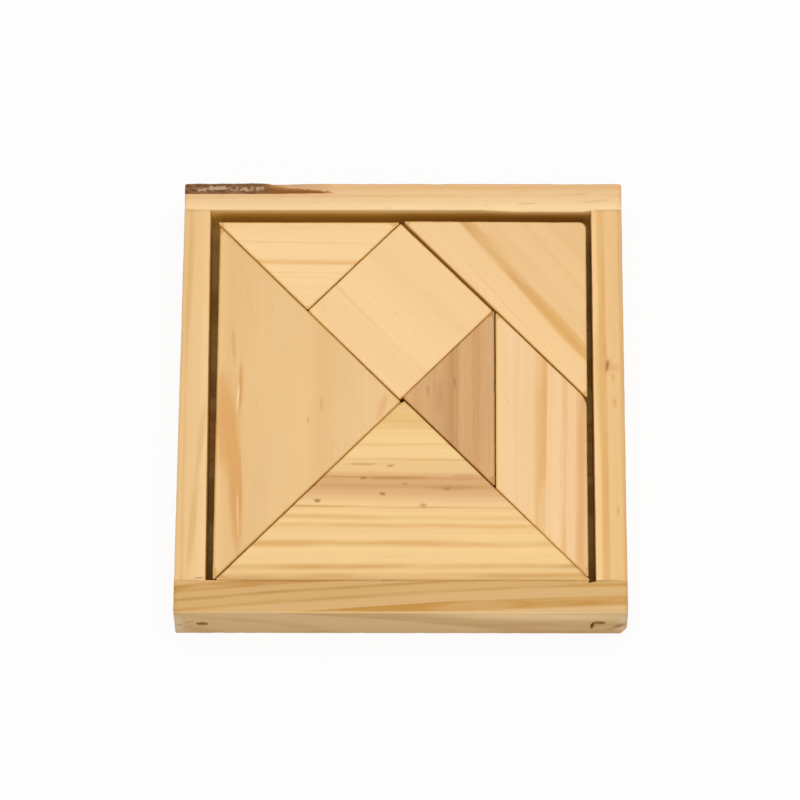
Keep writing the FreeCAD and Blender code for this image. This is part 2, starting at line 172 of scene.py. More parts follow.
# Fibre: hair-fine streaks along the grain, sparse short resin ducts, broad patches of tone, and the way that
# rings fade and come back along the grain.
fibre_group, given, out = make_group(
    "wood_fibre", {"Vector": "Vector"}, ["Streaks", "Ducts", "Patches", "Fading"])
tree = fibre_group
coarse = cloud(tree, given["Vector"], (45, 900, 900), 3.0)[0]
hair = cloud(tree, given["Vector"], (130, 4200, 4200), 2.0)[0]
both = reckon(tree, "ADD", reckon(tree, "MULTIPLY", coarse, 0.6), reckon(tree, "MULTIPLY", hair, 0.4))
tree.links.new(both, out["Streaks"])
cells = put(tree, "ShaderNodeMapping", {"Vector": given["Vector"], "Scale": (260, 2300, 2300)}).outputs[0]
duct = put(tree, "ShaderNodeTexVoronoi", {"Vector": cells, "Scale": 1.0, "Randomness": 1.0}).outputs
chosen = parts_of(tree, duct["Color"])[0]
narrow = ease(tree, duct["Distance"], 0.1, 0.42, 1.0, 0.0)
tree.links.new(reckon(tree, "MULTIPLY", narrow, ease(tree, chosen, 0.9, 0.97)), out["Ducts"])
tree.links.new(cloud(tree, given["Vector"], (14, 70, 70), 3.0)[0], out["Patches"])
tree.links.new(cloud(tree, given["Vector"], (34, 260, 260))[0], out["Fading"])

# Gaps: which places lie in the gaps inside the tray, for painted shade. The pieces' rims are darkened along
# the seams with painted shade; the sawn sides get a yellow tint of painted shade between two heights, and
# darker painted shade, with some dust, farther down. Each pair of places is where such a zone begins to fade
# and where it has faded out.
well_sides = (52.45 * mm, 52.7 * mm)
well_ends = (52.05 * mm, 52.3 * mm)
well_middle = 0.65 * mm
pieces_sides = (50.8 * mm, 51.2 * mm)
pieces_ends = (50.3 * mm, 50.7 * mm)
shaded_wall_bottom, shaded_wall_top = (9 * mm, 13 * mm), (17.8 * mm, 20.7 * mm)
dust_and_shade_top = (14.5 * mm, 18.3 * mm)
gap_shade_group, given, out = make_group(
    "gap_shade", {"Place": "Vector", "Normal": "Vector", "Edge": "Float"}, ["Rim", "Upper", "Depth"])
tree = gap_shade_group
across, ahead, height = parts_of(tree, given["Place"])
across = reckon(tree, "ABSOLUTE", across)
off_middle = reckon(tree, "ABSOLUTE", reckon(tree, "SUBTRACT", ahead, well_middle))
off_middle = ease(tree, off_middle, *well_ends, 1, 0)
in_well = reckon(tree, "MULTIPLY", ease(tree, across, *well_sides, 1, 0), off_middle)
not_below = ease(tree, parts_of(tree, given["Normal"])[2], -0.9, -0.6)
inside = reckon(tree, "MULTIPLY", in_well, not_below)
ahead = ease(tree, reckon(tree, "ABSOLUTE", ahead), *pieces_ends, 1, 0)
on_piece = reckon(tree, "MULTIPLY", ease(tree, across, *pieces_sides, 1, 0), ahead)
tree.links.new(reckon(tree, "MULTIPLY", on_piece, ease(tree, given["Edge"], 0.8, 1.0)), out["Rim"])
shaded_wall = reckon(tree, "MULTIPLY", ease(tree, height, *shaded_wall_top, 1, 0), ease(tree, height, *shaded_wall_bottom))
tree.links.new(reckon(tree, "MULTIPLY", inside, shaded_wall), out["Upper"])
tree.links.new(reckon(tree, "MULTIPLY", inside, ease(tree, height, *dust_and_shade_top, 1, 0)), out["Depth"])

# Marks: one ragged soft spot or streak, in coordinates that are centred on it and scaled to its size.
mark_group, given, out = make_group("wood_mark", {"Vector": "Vector", "Ragged": "Float"}, ["Mask"])
tree = mark_group
wild = put(tree, "ShaderNodeVectorMath", {
    0: cloud(tree, given["Vector"], (2.2, 2.2, 2.2), 3.0)["Color"], 1: (-0.5, -0.5, -0.5)}, operation="ADD")
wild = put(tree, "ShaderNodeVectorMath", {0: wild.outputs[0], "Scale": given["Ragged"]}, operation="SCALE")
torn = put(tree, "ShaderNodeVectorMath", {0: given["Vector"], 1: wild.outputs[0]}, operation="ADD")
reach = put(tree, "ShaderNodeVectorMath", {0: torn.outputs[0]}, operation="LENGTH").outputs["Value"]
tree.links.new(ease(tree, reach, 0.25, 1.0, 1.0, 0.0), out["Mask"])


def start_material(name):
    material = bpy.data.materials.new(name)
    material.use_nodes = True
    tree = material.node_tree
    surface = tree.nodes["Principled BSDF"]
    return material, tree, surface


def ring_tones(tree, radius, pith, stops):
    """Colours by their distance across from the anchor, in mm, each easing into the next."""
    rings = sorted((sqrt((pith[0] + offset) ** 2 + pith[1] ** 2) * mm, tone) for offset, tone in stops)
    first, last = rings[0][0], rings[-1][0]
    way = put(tree, "ShaderNodeMapRange", {"Value": radius, "From Min": first, "From Max": last}).outputs[0]
    ramp = put(tree, "ShaderNodeValToRGB", {0: way})
    ramp.color_ramp.interpolation = "EASE"
    points = ramp.color_ramp.elements
    points[0].color = rings[0][1]
    points[1].color = rings[-1][1]
    for distance_out, tone in rings[1:-1]:
        points.new((distance_out - first) / (last - first)).color = tone
    return ramp.outputs["Color"]


def add_marks(tree, place, colour, marks):
    """Lays streaks, flecks and knots over a colour, each with its place and size in mm, its turn in degrees,
    its tone, its strength and how ragged it is."""
    for spot, turn_degrees, size, tone, strength, ragged in marks:
        centred = put(tree, "ShaderNodeMapping", {
            "Vector": place, "Location": Vector(spot) * mm, "Scale": Vector(size) * mm,
            "Rotation": [radians(angle) for angle in turn_degrees]}, vector_type="TEXTURE").outputs[0]
        mask = use_group(tree, mark_group, {"Vector": centred, "Ragged": ragged})["Mask"]
        colour = blend_colour(tree, reckon(tree, "MULTIPLY", mask, strength), colour, tone)
    return colour


# The first three are tints of painted shade: along the seams between the pieces, on the upper walls of the
# gaps, and deep in the gaps, where there is some dust too.
seam_shade_tint = shade(232, 220, 184)
shaded_wall_tint = shade(250, 251, 192)
dust_and_shade_tint = shade(236, 231, 198)
edge_dirt_and_shade_tint = shade(234, 222, 188)
duct_tone = shade(170, 120, 70)


def stored(tree, name):
    """A value that the mesh holds at its points."""
    return put(tree, "ShaderNodeAttribute", attribute_name=name).outputs["Fac"]


def wood(name, along, anchor, pith, bow, wander, zones, lines, fine, fibre, patchy, end_tone, marks=()):
    """Wood cut from a log that lies at an angle in plan. The anchor is a place on the piece, in mm, and pith
    is where that place is, seen from the middle of the log. Zones are the wood's tones by their distance
    across from the anchor, and lines are the stains of its late wood, which fade and come back. Fine rings
    have a spacing, a strength and a tone; fibre and patchy say how much the tone varies."""
    material, tree, surface = start_material(name)
    place = put(tree, "ShaderNodeTexCoord").outputs
    turn = Matrix.Rotation(radians(-along), 3, "Z")
    shift = Vector((0, *pith)) * mm - turn @ (Vector(anchor) * mm)
    in_log = put(tree, "ShaderNodeMapping", {
        "Vector": place["Object"], "Location": shift, "Rotation": turn.to_euler("XYZ")}).outputs[0]
    radius = use_group(tree, rings_group, {"Vector": in_log, "Bow": bow, "Wander": wander * mm})["Radius"]
    fibres = use_group(tree, fibre_group, {"Vector": in_log})
    streaks, ducts, patches = fibres["Streaks"], fibres["Ducts"], fibres["Patches"]

    kept = ease(tree, fibres["Fading"], 0.36, 0.6, 0.4, 1.0)
    stain = ring_tones(tree, radius, pith, lines)
    colour = blend_colour(tree, kept, ring_tones(tree, radius, pith, zones), stain, "MULTIPLY")
    spacing, depth, late_tone = fine
    late = use_group(tree, fine_group, {"Radius": radius, "Spacing": spacing * mm})["Late Wood"]
    colour = blend_colour(tree, reckon(tree, "MULTIPLY", late, depth), colour, late_tone, "MULTIPLY")
    light = reckon(tree, "MULTIPLY_ADD", reckon(tree, "SUBTRACT", streaks, 0.5), fibre, 1.0)
    light = reckon(tree, "MULTIPLY_ADD", reckon(tree, "SUBTRACT", patches, 0.5), patchy, light)
    colour = blend_colour(tree, 1.0, colour, light, "MULTIPLY")
    colour = blend_colour(tree, reckon(tree, "MULTIPLY", ducts, 0.16), colour, duct_tone)

    normal_in_log = put(tree, "ShaderNodeMapping", {
        "Vector": place["Normal"], "Rotation": turn.to_euler("XYZ")}, vector_type="VECTOR").outputs[0]
    facing = reckon(tree, "ABSOLUTE", parts_of(tree, normal_in_log)[0])
    end_grain = ease(tree, facing, 0.6, 0.98)
    colour = blend_colour(tree, end_grain, colour, end_tone, "MULTIPLY")
    colour = add_marks(tree, place["Object"], colour, marks)

    edge = stored(tree, "edge")
    gap = use_group(tree, gap_shade_group, {"Place": place["Object"], "Normal": place["Normal"], "Edge": edge})
    deep = gap["Depth"]
    # Painted shade along the pieces' seams and down the walls of the gaps, with some dust deep down.
    for share, tone in ((gap["Rim"], seam_shade_tint), (gap["Upper"], shaded_wall_tint), (deep, dust_and_shade_tint)):
        colour = blend_colour(tree, share, colour, tone, "MULTIPLY")
    # Patches of darkening along every arris: dirt, and painted shade where the arrises meet in the seams.
    edge_dirt_and_shade = reckon(tree, "MULTIPLY", ease(tree, edge, 0.4, 1.0), reckon(tree, "MULTIPLY", patches, 0.5))
    colour = blend_colour(tree, edge_dirt_and_shade, colour, edge_dirt_and_shade_tint, "MULTIPLY")
    tree.links.new(colour, surface.inputs["Base Color"])

    rough = reckon(tree, "MULTIPLY_ADD", streaks, 0.2, 0.46)
    rough = reckon(tree, "MULTIPLY_ADD", end_grain, 0.15, rough)
    rough = reckon(tree, "MULTIPLY_ADD", deep, 0.3, rough)
    tree.links.new(reckon(tree, "MULTIPLY_ADD", edge, -0.06, rough), surface.inputs["Roughness"])
    relief = reckon(tree, "ADD", streaks, reckon(tree, "MULTIPLY", late, 0.35))
    relief = reckon(tree, "SUBTRACT", relief, reckon(tree, "MULTIPLY", ducts, 0.5))
    bump = put(tree, "ShaderNodeBump", {"Height": relief, "Distance": 0.05 * mm, "Strength": 0.6})
    tree.links.new(bump.outputs[0], surface.inputs["Normal"])
    surface.inputs["Specular IOR Level"].default_value = 0.25
    return material


def dress(node, material):
    """Gives its material to a piece that comes from the frame as it is."""
    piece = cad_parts[node]
    piece.data.materials.clear()
    piece.data.materials.append(material)


unstained = (1, 1, 1, 1)
veneer_pale = shade(216, 178, 122)
veneer_dark = shade(192, 148, 92)
board_wood = wood(
    "plywood", along=0, anchor=(0, 0, 8.5), pith=(9, 46), bow=0.15, wander=9,
    zones=[
        (-40, veneer_pale), (-22, veneer_dark), (-18, veneer_pale), (-9, veneer_pale), (-4, veneer_dark),
        (2, veneer_pale), (11, veneer_dark), (15, veneer_pale), (30, veneer_dark), (38, veneer_pale)],
    lines=[
        (-40, unstained), (-12, unstained), (-9, shade(240, 228, 208)), (-8, unstained), (20, unstained),
        (23, shade(240, 228, 208)), (24, unstained), (38, unstained)],
    fine=(1.7, 0.25, shade(205, 170, 130)), fibre=0.35, patchy=0.3, end_tone=shade(200, 165, 125))
dress("base_board", board_wood)


# The two side strips are sawn and planed pine, a finger's width thick, with the grain lengthwise. They stand
# between the front and back strips and are nailed through those. Their top edges are eased by hand.

# Points nearer to one another than this are the same.
touching = 0.002 * mm


def merged_copy(node):
    """A copy of a CAD piece with its loose triangles merged into flat faces."""
    shape = bmesh.new()
    shape.from_mesh(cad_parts[node].data)
    bmesh.ops.remove_doubles(shape, verts=shape.verts, dist=touching)
    bmesh.ops.dissolve_limit(
        shape, angle_limit=radians(0.3), verts=shape.verts, edges=shape.edges, use_dissolve_boundaries=False)
    return shape


def slice_at(shape, axis, place, parts=None):
    """Cuts the whole shape, or some parts of it, along a plane that is square on to one axis."""
    square_on = Vector([float(axis == other) for other in range(3)])
    if parts is None:
        parts = shape.verts[:] + shape.edges[:] + shape.faces[:]
    bmesh.ops.bisect_plane(shape, geom=parts, dist=touching, plane_co=square_on * place, plane_no=square_on)


def cut_into_cells(shape, node, cell):
    """Cuts a piece across all three ways, into cells of about one size, so that its faces can be worn."""
    low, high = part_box(node)
    for axis in range(3):
        count = round((high[axis] - low[axis]) / (cell[axis] * mm))
        for step in range(1, count):
            slice_at(shape, axis, low.lerp(high, step / count)[axis])


def wear_edges(shape, reach, depth, seed):
    """Rubs the arrises down by uneven amounts, and stores how near each point is to one."""
    sharp, patch = radians(5), 3.2 * mm
    edge_layer = shape.verts.layers.float.new("edge")
    shape.normal_update()
    arris = [vert for vert in shape.verts if any(
        len(edge.link_faces) == 2 and edge.calc_face_angle() > sharp for edge in vert.link_edges)]
    tree = KDTree(len(arris))
    for index, vert in enumerate(arris):
        tree.insert(vert.co, index)
    tree.balance()
    moves = []
    for vert in shape.verts:
        near = max(0.0, 1 - tree.find(vert.co)[2] / (reach * mm))
        vert[edge_layer] = near
        place = vert.co / patch + Vector((seed, 2 * seed, 3 * seed))
        rub = max(0.0, noise.noise(place) + 0.1) + 0.5 * max(0.0, noise.noise(place * 3.1) - 0.1)
        moves.append((vert, vert.normal * near * near * rub * depth * mm))
    for vert, move in moves:
        vert.co -= move


def set_down(shape, name, material, node):
    """Makes the worked shape a piece that stands for its CAD node."""
    soft_bend = radians(32)
    for face in shape.faces:
        face.smooth = True
    for edge in shape.edges:
        edge.smooth = len(edge.link_faces) == 2 and edge.calc_face_angle() < soft_bend
    mesh = bpy.data.meshes.new(name)
    shape.to_mesh(mesh)
    shape.free()
    mesh.materials.append(material)
    piece = add_object(name, mesh)
    shading = piece.modifiers.new("flat_faces", "WEIGHTED_NORMAL")
    shading.keep_sharp = True
    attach(piece, "root")
    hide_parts(node)


side_strip_cell = (1.1, 1.4, 2.3)
strip_reach, strip_wear = 1.2, 0.14


def side_strip(node, material, seed):
    shape = merged_copy(node)
    cut_into_cells(shape, node, side_strip_cell)
    wear_edges(shape, strip_reach, strip_wear, seed)
    set_down(shape, f"{node}_wood", material, node)


cream = shade(248, 208, 150)
straw = shade(239, 196, 136)
faint = shade(248, 242, 230)
pine_late = shade(226, 178, 118)
pine_end = shade(222, 186, 140)

left_wood = wood(
    "left_strip_pine", along=-90.0, anchor=(-56, -30, 21), pith=(-46, 16), bow=-0.1, wander=1.2,
    zones=[
        # The palest tones, at the outer top edge and on the outer face, are a painted highlight along that
        # edge.
        (-9, shade(232, 198, 148)), (-4.2, shade(238, 207, 160)), (-3.4, shade(237, 195, 136)),
        (-1.8, straw), (0.6, shade(241, 199, 139)), (2.2, shade(245, 204, 145)), (4.1, cream), (9, straw)],
    lines=[
        (-9, unstained), (-3.0, unstained), (-2.2, faint), (-1.4, unstained), (9, unstained)],
    fine=(1.9, 0.06, pine_late), fibre=0.1, patchy=0.18, end_tone=pine_end,
    marks=[
        ((-53.8, -13, 21), (0, 0, -5), (1.3, 15, 1), shade(216, 169, 105), 0.45, 0.5),
        ((-55.6, -36, 21), (0, 0, -4), (1.5, 18, 1), shade(218, 172, 108), 0.55, 0.5),
        ((-57.6, 34, 21), (0, 0, -2), (1.4, 24, 3), shade(226, 176, 110), 0.6, 0.4),
        ((-53.6, -50.7, 21), (0, 0, 3), (1.9, 0.24, 0.8), shade(140, 100, 52), 0.75, 0.4)])
side_strip("left_rail", left_wood, seed=1.0)

right_band = shade(246, 237, 220)
right_wood = wood(
    "right_strip_pine", along=-89.8, anchor=(55, 0, 21), pith=(52, 20), bow=0.0, wander=1.0,
    zones=[
        (-7, straw), (-3, shade(250, 208, 149)), (-1.9, shade(246, 203, 143)),
        (-1.2, shade(237, 191, 126)), (0.2, shade(234, 187, 121)), (0.9, shade(238, 195, 133)),
        (3, shade(237, 193, 131)), (4.4, shade(234, 190, 130)), (5.4, shade(231, 188, 129)), (10, straw)],
    lines=[
        (-7, unstained), (-1.7, unstained), (-0.8, right_band), (0, right_band), (0.7, unstained),
        (3.8, unstained), (4.5, shade(247, 239, 226)), (5.0, unstained), (10, unstained)],
    fine=(1.7, 0.07, pine_late), fibre=0.1, patchy=0.16, end_tone=pine_end,
    marks=[
        ((53.6, 4, 21), (0, 0, 1), (1.9, 24, 3), shade(226, 178, 108), 0.55, 0.45),
        ((57.4, 7.7, 21), (0, 0, -10), (2.4, 1.5, 1), shade(228, 174, 116), 0.7, 0.5),
        ((55.2, 12.5, 21), (0, 0, 4), (0.6, 4.5, 1), shade(218, 166, 100), 0.55, 0.5),
        ((55.7, 8.2, 21), (0, 0, -6), (1.5, 3.2, 1.5), shade(216, 164, 104), 0.7, 0.6),
        ((55.7, 8.2, 21), (0, 0, -8), (0.65, 2.2, 1.5), shade(166, 112, 48), 0.85, 0.8),
        ((57.2, 4.8, 21), (0, 0, 0), (0.7, 1.5, 1), shade(220, 164, 94), 0.6, 0.8),
        ((57.6, -2.3, 21), (0, 0, 0), (0.9, 1.9, 1), shade(226, 166, 96), 0.65, 0.8),
        ((58, -32.3, 21), (0, 0, 0), (0.6, 2, 1), shade(216, 162, 96), 0.65, 0.7),
        ((59.3, 37, 21), (0, 0, 0), (0.6, 16, 2), shade(220, 174, 112), 0.5, 0.4)])
side_strip("right_rail", right_wood, seed=2.0)


# The front strip runs the full width and is nailed into the ends of the side strips. It is flat-sawn pine, so
# broad bands of late wood climb across it in a flame and run over the arris on to its front face.

oak_tan = shade(221, 178, 119)
band = shade(236, 218, 172)
band_edge = shade(231, 211, 162)
front_wood = wood(
    "front_strip_pine", along=2.6, anchor=(30, -60.3, 21), pith=(-59.4, 22.9), bow=0.25, wander=1.3,
    zones=[
        (-14, shade(226, 184, 128)), (0.6, shade(229, 189, 132)), (1.6, oak_tan), (3.8, oak_tan),
        (4.3, shade(226, 185, 127)), (6.2, shade(223, 181, 122)), (8.6, shade(219, 176, 114)),
        (11, oak_tan), (14, shade(224, 182, 124)), (20, oak_tan)],
    lines=[
        (-14, unstained), (0.9, unstained), (1.9, band), (3.2, band), (3.7, band_edge), (4.1, unstained),
        (6.0, unstained), (6.9, shade(238, 227, 204)), (7.6, unstained), (8.9, unstained),
        (9.6, shade(228, 214, 182)), (10.2, unstained), (11.2, unstained), (11.8, shade(230, 212, 176)),
        (13.2, shade(226, 206, 166)), (13.8, unstained), (20, unstained)],
    fine=(1.6, 0.14, pine_late), fibre=0.16, patchy=0.14, end_tone=pine_end,
    marks=[
        ((0, -61, 10.5), (-2.3, 0, 0), (600, 0.9, 150), shade(178, 159, 127), 0.55, 0.0),
        ((34, -60.5, 17.5), (-2.3, 2, 0), (36, 0.9, 6), shade(236, 202, 152), 0.5, 0.2),
        # A painted highlight along the rounded top front arris.
        ((0, -60.05, 20.9), (0, 0, 0), (100, 0.5, 0.5), shade(244, 208, 152), 0.6, 0.15),
        # The two ends of the front face are painted paler: painted light from the white surroundings wrapping
        # round them.
        ((-60.6, -61, 10), (0, 0, 0), (3.2, 2.5, 14), shade(207, 184, 154), 0.8, 0.2),
        ((60.6, -61, 10), (0, 0, 0), (3.4, 2.5, 14), shade(208, 184, 153), 0.8, 0.2),
        # Painted shade in and round the left nail's hole.
        ((-53.5, -60.6, 10), (0, 0, 0), (2.4, 2.4, 1.6), shade(176, 146, 92), 0.8, 0.2),
        ((-59.4, -60.8, 8.7), (0, -24, 0), (1.4, 3, 0.8), shade(150, 122, 82), 0.8, 0.3),
        ((-56.6, -60.8, 11.3), (0, -46, 0), (3.1, 3, 0.5), shade(150, 124, 88), 0.75, 0.3),
        ((54.8, -60.9, 9.5), (0, -2, 0), (3.6, 2, 2.4), shade(180, 151, 96), 0.7, 0.35),
        # Painted light on the walls inside the right nail's hole, against the shade there.
        ((53.2, -59.2, 11.2), (0, 0, 0), (2.4, 1.3, 2.4), shade(244, 214, 150), 0.9, 0.0),
        # Painted shade along the split beside the right nail.
        ((51.5, -60.8, 8.0), (0, 4, 0), (0.9, 3, 4.4), shade(120, 92, 44), 0.8, 0.2),
        ((58.6, -60.8, 8.4), (0, -62, 0), (4.0, 3, 1.9), shade(156, 116, 76), 0.9, 0.35),
        ((56.2, -60.9, 4.7), (0, -20, 0), (1.9, 3, 1.1), shade(160, 126, 90), 0.7, 0.35)])
# The weathered strip has lost all its shine.
front_wood.node_tree.nodes["Principled BSDF"].inputs["Specular IOR Level"].default_value = 0.0
shape = merged_copy("front_rail")

# The split beside the right nail runs farther down than the nail and ends just above the nail's middle. The
# solid's split has three corners, which are drawn down to there along the leaning front face.
long_strip_cell = (1.4, 1.1, 2.3)
front_lean = 0.04
split = {(50.75, 8.4): (51.35, 5.2), (50.45, 11.2): (50.95, 9.3), (51.35, 14.0): (51.45, 11.9)}
for vert in shape.verts:
    x, y, z = vert.co / mm
    for (across, height), (new_across, new_height) in split.items():
        if abs(x - across) < 0.02 and abs(z - height) < 0.02 and y < -58:
            raised = new_height - height
            set_back = front_lean * raised if y < -60 else 0.0
            vert.co += Vector((new_across - across, set_back, raised)) * mm
cut_into_cells(shape, "front_rail", long_strip_cell)

# A sliver is torn out of its inner top edge where it meets the right gap.
torn_from, torn_to, torn_inner, torn_bottom = 49.9, 52.3, -51.5, 18.9
torn_depth, torn_height = 0.75, 2.1
for x in (49.8, 49.95, 50.8, 51.6, torn_to):
    slice_at(shape, 0, x * mm)
slice_at(shape, 2, torn_bottom * mm)
for vert in shape.verts:
    x, y, z = vert.co / mm
    if torn_from < x < torn_to and y > torn_inner and z > torn_bottom:
        share = (torn_to - x) / 2.35 * (z - torn_bottom) / torn_height
        vert.co.y -= torn_depth * share * mm
wear_edges(shape, strip_reach, strip_wear, seed=3.0)
set_down(shape, "front_rail_wood", front_wood, "front_rail")


# The back strip is cut from the outside of the log, so a strip of bark is left on its outer top edge, from
# the left end to where the saw cut runs into sound wood. It is nailed on like the front one.

back_wood = wood(
    "back_strip_pine", along=0.3, anchor=(0, 56.5, 21), pith=(60, 20), bow=0.05, wander=1.3,
    zones=[
        # The palest tone, at the inner top edge, is a painted highlight along that arris.
        (-9, shade(250, 208, 150)), (-3.8, shade(252, 217, 162)), (-2.6, shade(249, 212, 156)),
        (-1.2, shade(244, 204, 150)), (0.6, shade(240, 198, 145)), (1.9, shade(236, 193, 138)),
        (2.5, shade(231, 184, 124)), (3.1, shade(237, 193, 138)), (4.2, shade(234, 188, 143)), (9, straw)],
    lines=[
        (-9, unstained), (-0.7, unstained), (0.1, faint), (0.9, unstained), (9, unstained)],
    fine=(1.6, 0.07, pine_late), fibre=0.12, patchy=0.16, end_tone=pine_end,
    marks=[
        ((34.4, 54.5, 21), (0, 0, 2), (4.2, 0.45, 1), shade(226, 176, 122), 0.6, 0.6),
        ((53, 55.2, 21), (0, 0, 6), (6.0, 0.45, 1), shade(228, 178, 122), 0.6, 0.6),
        ((32.8, 58, 21), (0, 0, 3), (3.6, 0.45, 1), shade(228, 180, 124), 0.55, 0.6),
        ((49.2, 57.3, 21), (0, 0, 5), (3.8, 0.45, 1), shade(226, 176, 120), 0.6, 0.6),
        ((30, 59, 21), (0, 0, 0), (42, 0.6, 1), shade(226, 178, 112), 0.45, 0.35)])
shape = merged_copy("back_rail")
cut_into_cells(shape, "back_rail", long_strip_cell)


def limited(value):
    return min(1.0, max(0.0, value))


# Its inner top edge is planed a hair less towards the right, so the back gap narrows there.
fuller_from, fuller_to, fuller_by = 22, 51.8, 0.45
for vert in shape.verts:
    x, y, z = vert.co / mm
    if fuller_from < x < fuller_to and y < 53.2 and z > 13:
        fuller = limited((x - fuller_from) / 9) * limited((fuller_to - x) / 1.2) * (z - 13) / 8
        vert.co.y -= fuller_by * fuller * mm

# The waney face, in mm. The bark is whole up to bark_full and has run out at bark_end. Its narrowing gives
# places along the strip and the share of the face's width that still carries bark there.
bark_start, bark_full, bark_end = -60.3, -39.3, -17.3
inner_line, outer_line, outermost = 57.2, 60.37, 61.143
wane_drop, drop_lost_at_start, drop_lost_at_end, inner_run = 2.3, 0.46, 1.725, 0.31
whole_bark = 1.4
narrowing = ((-38.5, whole_bark), (-35.0, 0.95), (-31.8, 0.68), (-26, 0.48), (-20.4, 0.26), (-17.6, 0.0))


def across_bark(place, off=0.05):
    """How far a point on the waney face lies from its inner line to its outer one, or None off that face."""
    x, y, z = place / mm
    if x > bark_end or y < inner_line - 0.02:
        return None
    way = max(0.0, (x - bark_full) / (bark_end - bark_full))
    even = min(1.0, (x - bark_start) / (bark_full - bark_start))
    inner = inner_line + inner_run * way
    drop = wane_drop - drop_lost_at_start * even - drop_lost_at_end * way
    height = 21 - drop * (y - inner) / (outermost - inner)
    return (y - inner) / (outer_line - inner) if abs(z - height) < off else None


def bark_reach(x):
    """How much of the waney face's width still carries bark at a place along the strip."""
    if x <= narrowing[0][0]:
        return whole_bark
    for (start, first), (end, last) in zip(narrowing, narrowing[1:]):
        if x <= end:
            return first + (last - first) * (x - start) / (end - start)
    return 0.0


def waney_faces():
    faces = [face for face in shape.faces if across_bark(face.calc_center_median()) is not None]
    edges = {edge for face in faces for edge in face.edges}
    verts = {vert for face in faces for vert in face.verts}
    return faces + list(edges) + list(verts)


# Narrow rows lie beside the bark, so that its relief dies out there, and fine cells under the bark carry it.
bark_cell_along, bark_cell_across = 0.35, 0.27
for row in (57.0, 57.12):
    slice_at(shape, 1, row * mm)
for row in (18.4, 18.8, 19.0):
    slice_at(shape, 2, row * mm)
for step in range(1, 123):
    slice_at(shape, 0, (bark_start + bark_cell_along * step) * mm, waney_faces())
for step in range(1, 11):
    slice_at(shape, 1, (inner_line + bark_cell_across * step) * mm, waney_faces())

# The outer arris isn't rubbed dark where the waney face runs out.
wear_edges(shape, strip_reach, strip_wear, seed=4.0)
edge_layer = shape.verts.layers.float["edge"]
for vert in shape.verts:
    if vert.co.y > 56.5 * mm:
        vert[edge_layer] *= min(1.0, abs(vert.co.x / mm - bark_end) / 2)

# The bark grows out of the waney face in plates and ridges. It is thin where it has flaked off down to the
# inner bark, and a bead of pale crust runs along the middle of the whole part.
bark_names = ("bark", "crust", "inner_bark", "bare_wane", "outer_bark")
layers = {name: shape.verts.layers.float.new(name) for name in bark_names}
crust_from, crust_to, crust_middle, crust_width = -57.5, -37.8, 0.48, 0.31
base, build, ridge_height, plate_height, bare_height = 0.1, 0.48, 0.07, 0.2, 0.3
strip_top = 20.98
shape.normal_update()
outwards = Vector((0, 0.5, 0.86))
for vert in shape.verts:
    side = across_bark(vert.co, 0.25)
    if side is None:
        continue
    x = vert.co.x / mm
    ragged = 0.12 * noise.noise(vert.co / (0.9 * mm)) + 0.08 * noise.noise(vert.co / (2.6 * mm))
    cover = limited((bark_reach(x) + ragged - side) * 6) * limited((side + 0.06) * 8)
    ridges = noise.noise(Vector((x / 1.6, side * 4.5, 0.3)))
    plates = abs(noise.noise(Vector((x / 0.8, side * 8, 3.7))))
    beads = 0.68 + 1.3 * noise.noise(Vector((x / 1.1, side * 3, 9.1)))
    middle = max(0.0, 1 - abs(side - crust_middle - 0.06 * sin(x / 2.1)) / crust_width)
    swell = sin(pi * limited(side))
    vert[layers["bark"]] = cover
    vert[layers["crust"]] = middle * max(0.0, beads) * limited((x - crust_from) / 3) * float(x < crust_to)
    vert[layers["inner_bark"]] = limited((x + 39.5) / 4 + 0.5 * ragged)
    vert[layers["bare_wane"]] = limited((-17 - x) / 9)
    vert[layers["outer_bark"]] = min(1.0, max(0.0, side) / max(0.2, bark_reach(x)) + max(0.0, (x + 22.5) / 3))
    thin = 1 - 0.8 * limited((x + 39) / 5)
    rounding = limited((x + 60.4) / 1.4) ** 0.5
    grown = base + build * limited(side / 0.75) ** 1.3 + ridge_height * ridges + plate_height * plates * swell
    bare = (1 - cover) * vert[layers["bare_wane"]] * bare_height * swell
    vert.co += outwards * (cover * thin * rounding * grown + bare) * mm
    vert.co.z = min(vert.co.z, strip_top * mm)

# The corner under the end of the bark is rubbed round.
corner_middle, corner_radius, corner_bottom, corner_ease = Vector((-58.5, 58.8)), 1.8, 15, 3
for vert in shape.verts:
    off = vert.co.xy / mm - corner_middle
    if off.x < 0 < off.y and off.length > corner_radius and vert.co.z > corner_bottom * mm:
        share = min(1.0, (vert.co.z / mm - corner_bottom) / corner_ease)
        vert.co.xy -= off * (1 - corner_radius / off.length) * share * mm

tree = back_wood.node_tree
surface = tree.nodes["Principled BSDF"]
place = put(tree, "ShaderNodeTexCoord").outputs["Object"]
plain = surface.inputs["Base Color"].links[0].from_socket
plain_gloss = surface.inputs["Roughness"].links[0].from_socket
scales = cloud(tree, place, (600, 1500, 1500), 3.0)[0]
flakes = cloud(tree, place, (300, 900, 900), 3.0)[0]
bark_tone = blend_colour(tree, ease(tree, scales, 0.34, 0.66), shade(104, 68, 40), shade(152, 108, 68))
crust = stored(tree, "crust")
pale = ease(tree, reckon(tree, "MULTIPLY", crust, reckon(tree, "ADD", scales, 0.5)), 0.15, 0.65)
bark_tone = blend_colour(tree, pale, bark_tone, shade(196, 166, 130))
outer = stored(tree, "outer_bark")
outer = reckon(tree, "ADD", outer, reckon(tree, "MULTIPLY", reckon(tree, "SUBTRACT", flakes, 0.5), 0.5))
inner_tone = blend_colour(tree, ease(tree, outer, 0.4, 0.95), shade(147, 92, 38), shade(192, 138, 84))
inner = stored(tree, "inner_bark")
bark_tone = blend_colour(tree, inner, bark_tone, inner_tone)
bare = stored(tree, "bare_wane")
